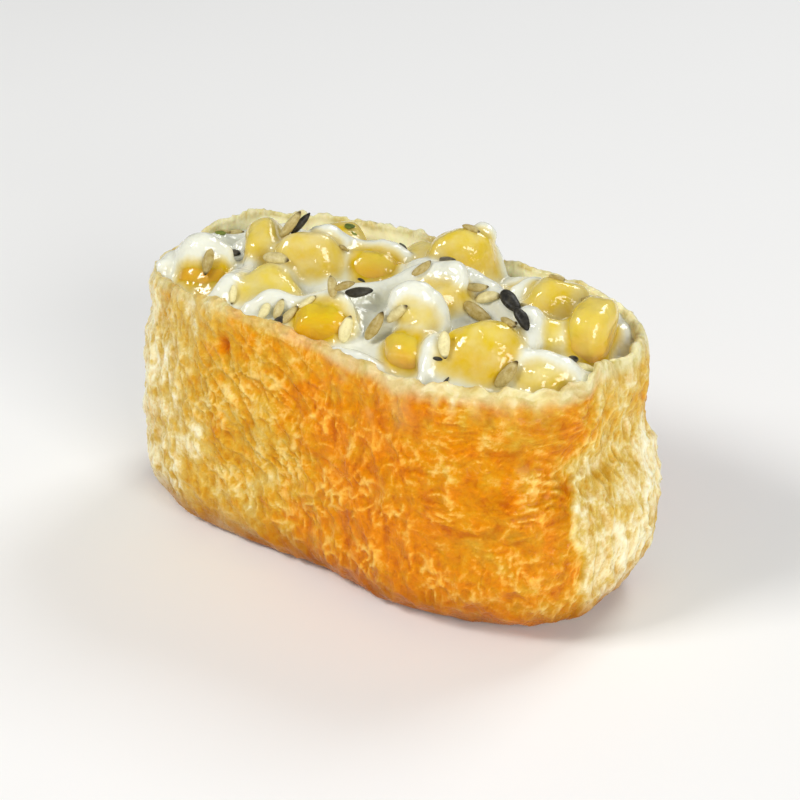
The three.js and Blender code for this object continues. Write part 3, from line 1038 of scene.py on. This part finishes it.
def lay_fold(field, heights, radius, places, seed):
    """Lays a thick string of mayonnaise on the surface, through places in plan."""
    plan = smooth_path(places, FOLD_STEP)
    z = height_at(field, heights, plan)
    z = np.maximum(z, blurred(z, 2.5))
    spine = np.column_stack([plan, z + 0.35 * radius])
    ends = np.minimum(np.arange(len(spine)), np.arange(len(spine))[::-1]) * FOLD_STEP
    thickness = radius * (0.55 + 0.45 * smoothstep(0, 2.5, ends)) * (1 + 0.2 * noise(spine, 2.6, seed))
    window = field.window(spine.min(axis=0) - 4, spine.max(axis=0) + 4)
    part = field.corners(window)
    here = part.points()
    for centre, girth in zip(spine, thickness):
        away = np.linalg.norm(here - centre, axis=1) - girth
        part.values = np.minimum(part.values, away.reshape(part.values.shape))
    field.values[window] = melted(field.values[window], part.values, 1.1)


def lip_over(plan, grid):
    """How high the pouch's lip is, nearest to each place in plan."""
    lip = grid[FIRST_INNER, ::4]
    nearest = np.zeros(len(plan), int)
    best = np.full(len(plan), np.inf)
    for number, place in enumerate(lip):
        away = np.sum((plan - place[:2]) ** 2, axis=1)
        nearest = np.where(away < best, number, nearest)
        best = np.minimum(best, away)
    return lip[nearest, 2]


def build_mayonnaise(material, shapes, grid):
    """The mayonnaise, from under the lip up, poured round the kernels and laid over them in folds.

    Grid is the pouch's skin, inside which the mayonnaise ends. It may lie over the lip, but not pass its
    outside.
    """
    field = Field(FIELD_LOW, FIELD_HIGH)
    level = salad_level(field, shapes)
    x, y, z = field.axes()
    plan = np.stack(np.meshgrid(x, y, [0.0], indexing="ij"), axis=-1).reshape(-1, 3)
    ripples = 0.45 * noise(plan, 4.5, 71) + 0.12 * noise(plan, 1.8, 72)
    lower = 0.5
    field.values = z[None, None, :] - (level + ripples.reshape(level.shape) - lower)[:, :, None]
    nearest, yellow_and_shade = coat_kernels(field, shapes)
    wall = measured(Field(FIELD_LOW, FIELD_HIGH), *outer_shell(grid))
    lip = lip_over(plan[:, :2], grid).reshape(level.shape)
    in_skin, over_lip = 1.0, 0.4
    above = smoothstep(-1.0, 0.0, z[None, None, :] - lip[:, :, None])
    wall.values += in_skin + (over_lip - in_skin) * above
    field.values = np.maximum(field.values, wall.values)
    heights = surface_heights(field)
    for number, (radius, *places) in enumerate(FOLDS):
        lay_fold(field, heights, radius, places, 90 + number)
    bottom = 26.5
    field.values = np.maximum(softened(field.values, 0.9), wall.values)
    field.values = np.maximum(field.values, bottom - z[None, None, :])
    grid = openvdb.FloatGrid(background=FAR_OUT)
    grid.copyFromArray(np.ascontiguousarray(field.values, np.float32))
    points, _, quads = grid.convertToPolygons(isovalue=0.0)
    points = (np.asarray(points, float) + field.first) * VOXEL
    film = np.clip(nearest.sample(points) / 1.4 + 0.1 * noise(points, 1.6, 73), 0, 1)
    # The corn colour seen through the mayonnaise, with the kernels' painted shade.
    yellow_and_shade_below = np.maximum(yellow_and_shade.sample(points), 0.6 + 0.6 * film)
    attributes = {"film": film, "yellow_and_shade": yellow_and_shade_below}
    quads = np.asarray(quads, int)
    piece = make_object("mayonnaise", points, quads, material, attributes)
    finish_piece(piece, "mayonnaise", "corn_mayo_salad")
    return points, quads


# ---- seeds and herbs

SEED_RINGS = 13
SEED_SIDES = 14
BLACK_SEEDS = [  # across, along, heading and rise in degrees, length in millimetres, shade
    (-23.5, -0.5, -15, 0, 2.9, 0.5),
    (-13.0, 0.0, 36, 36, 3.4, 0.2),
    (-0.5, -5.5, 45, 10, 3.3, 0.3),
    (-6.0, -13.0, 65, 0, 2.4, 0.3),
    (16.0, 1.5, -29, -15, 3.9, 0.1),
    (20.0, -2.5, -32, -25, 3.2, 0.1),
    (4.8, 4.9, -20, 0, 3.2, 0.9),
    (-4.0, 8.0, 20, 0, 1.2, 0.5),
    (26.6, -2.2, -39, -10, 2.6, 0.5),
    (14.5, -11.0, 20, 0, 1.1, 0.2),
    (16.0, -11.5, 60, 0, 0.9, 0.2),
    (-5.0, 1.0, 20, 0, 1.0, 0.3),
]
WHITE_SEEDS = [
    (-21.5, -7.5, -68, 0, 3.5, 0.15),
    (-29.0, 6.5, 20, 0, 2.4, 0.3),
    (-29.5, 4.5, 50, 0, 2.2, 0.2),
    (-13.0, -5.0, 7, 0, 3.6, 0.5),
    (-13.6, -0.8, 36, 32, 4.0, 0.3),
    (-1.0, -8.0, 80, 30, 3.0, 0.1),
    (-2.0, -8.5, 130, 30, 2.8, 0.25),
    (-8.0, 1.5, 60, 0, 1.6, 0.1),
    (4.5, 0.0, 65, 0, 2.8, 0.2),
    (4.5, 10.0, 5, 0, 2.4, 0.15),
    (10.5, 2.5, 30, 0, 2.8, 0.3),
    (12.5, 2.0, 10, 0, 3.4, 0.7),
    (12.5, -0.2, 5, 0, 4.0, 0.1),
    (19.4, -4.6, -20, 0, 2.6, 0.15),
    (18.5, -2.0, -27, -10, 2.8, 0.1),
    (17.5, 2.5, 0, 0, 2.2, 0.4),
    (17.5, 8.5, 33, 0, 2.0, 0.15),
    (22.8, 7.8, -10, 0, 3.4, 0.1),
    (4.7, -9.0, 60, 10, 3.8, 0.15),
    (7.0, -8.0, 16, 0, 3.4, 0.6),
    (21.8, -8.2, 60, 10, 3.8, 0.2),
    (-8.5, -13.0, -79, 0, 2.6, 0.9),
    (-7.0, -12.0, 100, 0, 2.6, 0.5),
    (-5.5, -12.0, 75, 0, 2.8, 0.35),
    (-14.0, -12.0, -60, 0, 2.4, 0.9),
    (-4.0, -10.5, 65, 0, 2.4, 0.8),
    (1.5, -10.5, 101, 15, 3.2, 0.95),
    (15.0, -10.0, -61, -20, 3.1, 0.85),
    (27.6, -1.4, 30, 0, 2.8, 1.0),
]
HERBS = [
    (-29.0, 3.5, 40, 0, 1.4, 0.5),
    (-13.5, 10.0, 80, 0, 1.5, 0.2),
    (-12.5, 9.5, 10, 0, 0.9, 0.7),
]


def seed_shape(breadth, thickness):
    """A seed one long with its tip at +x: its points, its faces and how far along each point is."""
    along = 0.5 - 0.5 * np.cos(np.linspace(0, math.pi, SEED_RINGS))
    girth = along**0.5 * (1 - along) ** 0.62
    girth /= 2 * girth.max()
    turn = np.arange(SEED_SIDES) * 2 * math.pi / SEED_SIDES
    rings = []
    for place, wide in zip(along[1:-1] - 0.5, girth[1:-1]):
        across, up = breadth * wide * np.cos(turn), thickness * wide * np.sin(turn)
        rings.append(np.column_stack([np.full(SEED_SIDES, place), across, up]))
    points = np.concatenate([*rings, [[-0.5, 0, 0], [0.5, 0, 0]]])
    faces = ring_faces(len(rings), SEED_SIDES).tolist() + cap_faces(len(rings), SEED_SIDES).tolist()
    along = np.concatenate([np.repeat(along[1:-1], SEED_SIDES), [0, 1]])
    return points, [face[::-1] for face in faces], along


def lie_on(tree, across, along, heading, rise, reach, proud):
    """Where a seed lies on the heap, touching it near both ends, and its own axes there, as columns."""
    turn = math.radians(heading)
    ahead = Vector((math.cos(turn), math.sin(turn), 0))
    above = Vector((across, along, FAR))
    place, normal, _, _ = tree.ray_cast(above, DOWN)
    back, front = [tree.ray_cast(above + ahead * reach * way, DOWN)[0] or place for way in (-1, 1)]
    place.z = max(place.z, (back.z + front.z) / 2)
    ahead.z = min(max((front.z - back.z) / (2 * reach), -1), 1)
    ahead.normalize()
    normal = normal + Vector((0, 0, 0.6))
    normal = (normal - ahead * normal.dot(ahead)).normalized()
    tilt = math.radians(rise)
    length = ahead * math.cos(tilt) + normal * math.sin(tilt)
    side = normal.cross(length).normalized()
    lift = 1.2 * reach * abs(math.sin(tilt)) + proud
    return np.array(place + normal * lift), np.array([length, side, length.cross(side)]).T


def scatter(name, slot, material, tree, seeds, breadth, thickness, roughness, seed_number):
    """Lays seeds of one kind on the heap, as one piece."""
    shape, faces, along = seed_shape(breadth, thickness)
    points, polygons, shades, alongs = [], [], [], []
    for number, (across, up, heading, rise, length, shade) in enumerate(seeds):
        place, axes = lie_on(tree, across, up, heading, rise, 0.35 * length, 0.06 * length)
        own = shape.copy()
        plump = 1 + 0.12 * math.sin(5.0 * number + seed_number)
        own[:, 1] = own[:, 1] * plump + 0.06 * math.sin(3.0 * number) * (1 - 4 * own[:, 0] ** 2)
        own *= length
        dents = [noise(own + 9 * number, 0.7, seed_number + axis) for axis in range(3)]
        own += roughness * np.column_stack(dents)
        polygons += [[i + number * len(shape) for i in face] for face in faces]
        points.append(own @ axes.T + place)
        shades.append(np.full(len(shape), shade))
        alongs.append(along)
    attributes = {"shade": np.concatenate(shades), "along": np.concatenate(alongs)}
    piece = make_object(name, np.concatenate(points), polygons, material, attributes)
    return finish_piece(piece, slot)


def build_seeds(tree):
    black = seed_material("black_sesame", (34, 33, 30), (104, 98, 82), (24, 23, 21), 0.4)
    white = seed_material("white_sesame", (166, 142, 76), (238, 228, 172), (74, 56, 26), 0.35)
    green = seed_material("herb", (70, 86, 22), (146, 158, 62), (110, 124, 40), 0.5)
    scatter("black_sesame", "black_sesame", black, tree, BLACK_SEEDS, 0.42, 0.28, 0.05, 101)
    scatter("white_sesame", "white_sesame", white, tree, WHITE_SEEDS, 0.42, 0.3, 0.05, 111)
    scatter("herb_flecks", "herb", green, tree, HERBS, 0.7, 0.16, 0.16, 121)


# ---- stage


def build_floor():
    side = 3.0
    corners = [(-side, -side, 0), (side, -side, 0), (side, side, 0), (-side, side, 0)]
    mesh = bpy.data.meshes.new("floor")
    mesh.from_pydata(corners, [], [(0, 1, 2, 3)])
    mesh.materials.append(floor_material())
    floor = add_object("floor", mesh)


def aim(obj, target):
    obj.rotation_euler = (target - obj.location).to_track_quat("-Z", "Y").to_euler()


def add_light(name, where, target, side, watts, colour=(1, 1, 1)):
    light = bpy.data.lights.new(name, "AREA")
    light.shape = "SQUARE"
    light.size = side
    light.energy = watts
    light.color = colour
    obj = add_object(name, light)
    obj.location = where
    aim(obj, target)


def build_lights():
    middle = Vector((0, 0, 0.02))
    add_light("key", Vector((-0.30, -0.40, 0.50)), middle, 0.20, 2.5, (1, 0.99, 0.97))
    add_light("fill", Vector((0.55, -0.30, 0.25)), middle, 0.35, 2.9)
    add_light("back", Vector((0.05, 0.45, 0.50)), middle, 0.25, 1.5, (0.98, 0.99, 1))
    world = bpy.data.worlds.new("studio")
    world.use_nodes = True
    world.node_tree.nodes["Background"].inputs["Color"].default_value = (1, 1, 1, 1)
    world.node_tree.nodes["Background"].inputs["Strength"].default_value = 0.22
    bpy.context.scene.world = world


def build_camera():
    turn, tilt, distance = math.radians(36.16), math.radians(28.49), 263.45 * MM
    back = Vector((math.sin(turn) * math.cos(tilt), -math.cos(turn) * math.cos(tilt), math.sin(tilt)))
    right = Vector((math.cos(turn), math.sin(turn), 0))
    above = back.cross(right)
    pivot = Vector((0.4 * MM, 0, 15.7 * MM))
    camera = bpy.data.cameras.new("camera")
    camera.lens = 98.3
    camera.sensor_width = 36
    obj = add_object("camera", camera)
    obj.location = pivot + back * distance
    aim(obj, pivot + right * 0.8 * MM + above * 1.8 * MM)
    camera.clip_start = 0.01
    bpy.context.scene.camera = obj


def build_view():
    view = bpy.context.scene.view_settings
    view.view_transform = "Standard"
    view.look = "None"
    view.exposure = 0.0


build_camera()
build_view()
build_lights()
build_floor()
skin = measure_pouch()
build_pouch(tofu_material(), skin)
kernels = build_kernels(sweetcorn_material())
mayonnaise = build_mayonnaise(mayonnaise_material(), kernels, skin)
build_seeds(joined_tree(mayonnaise, *[(points, quads) for _, points, quads in kernels]))
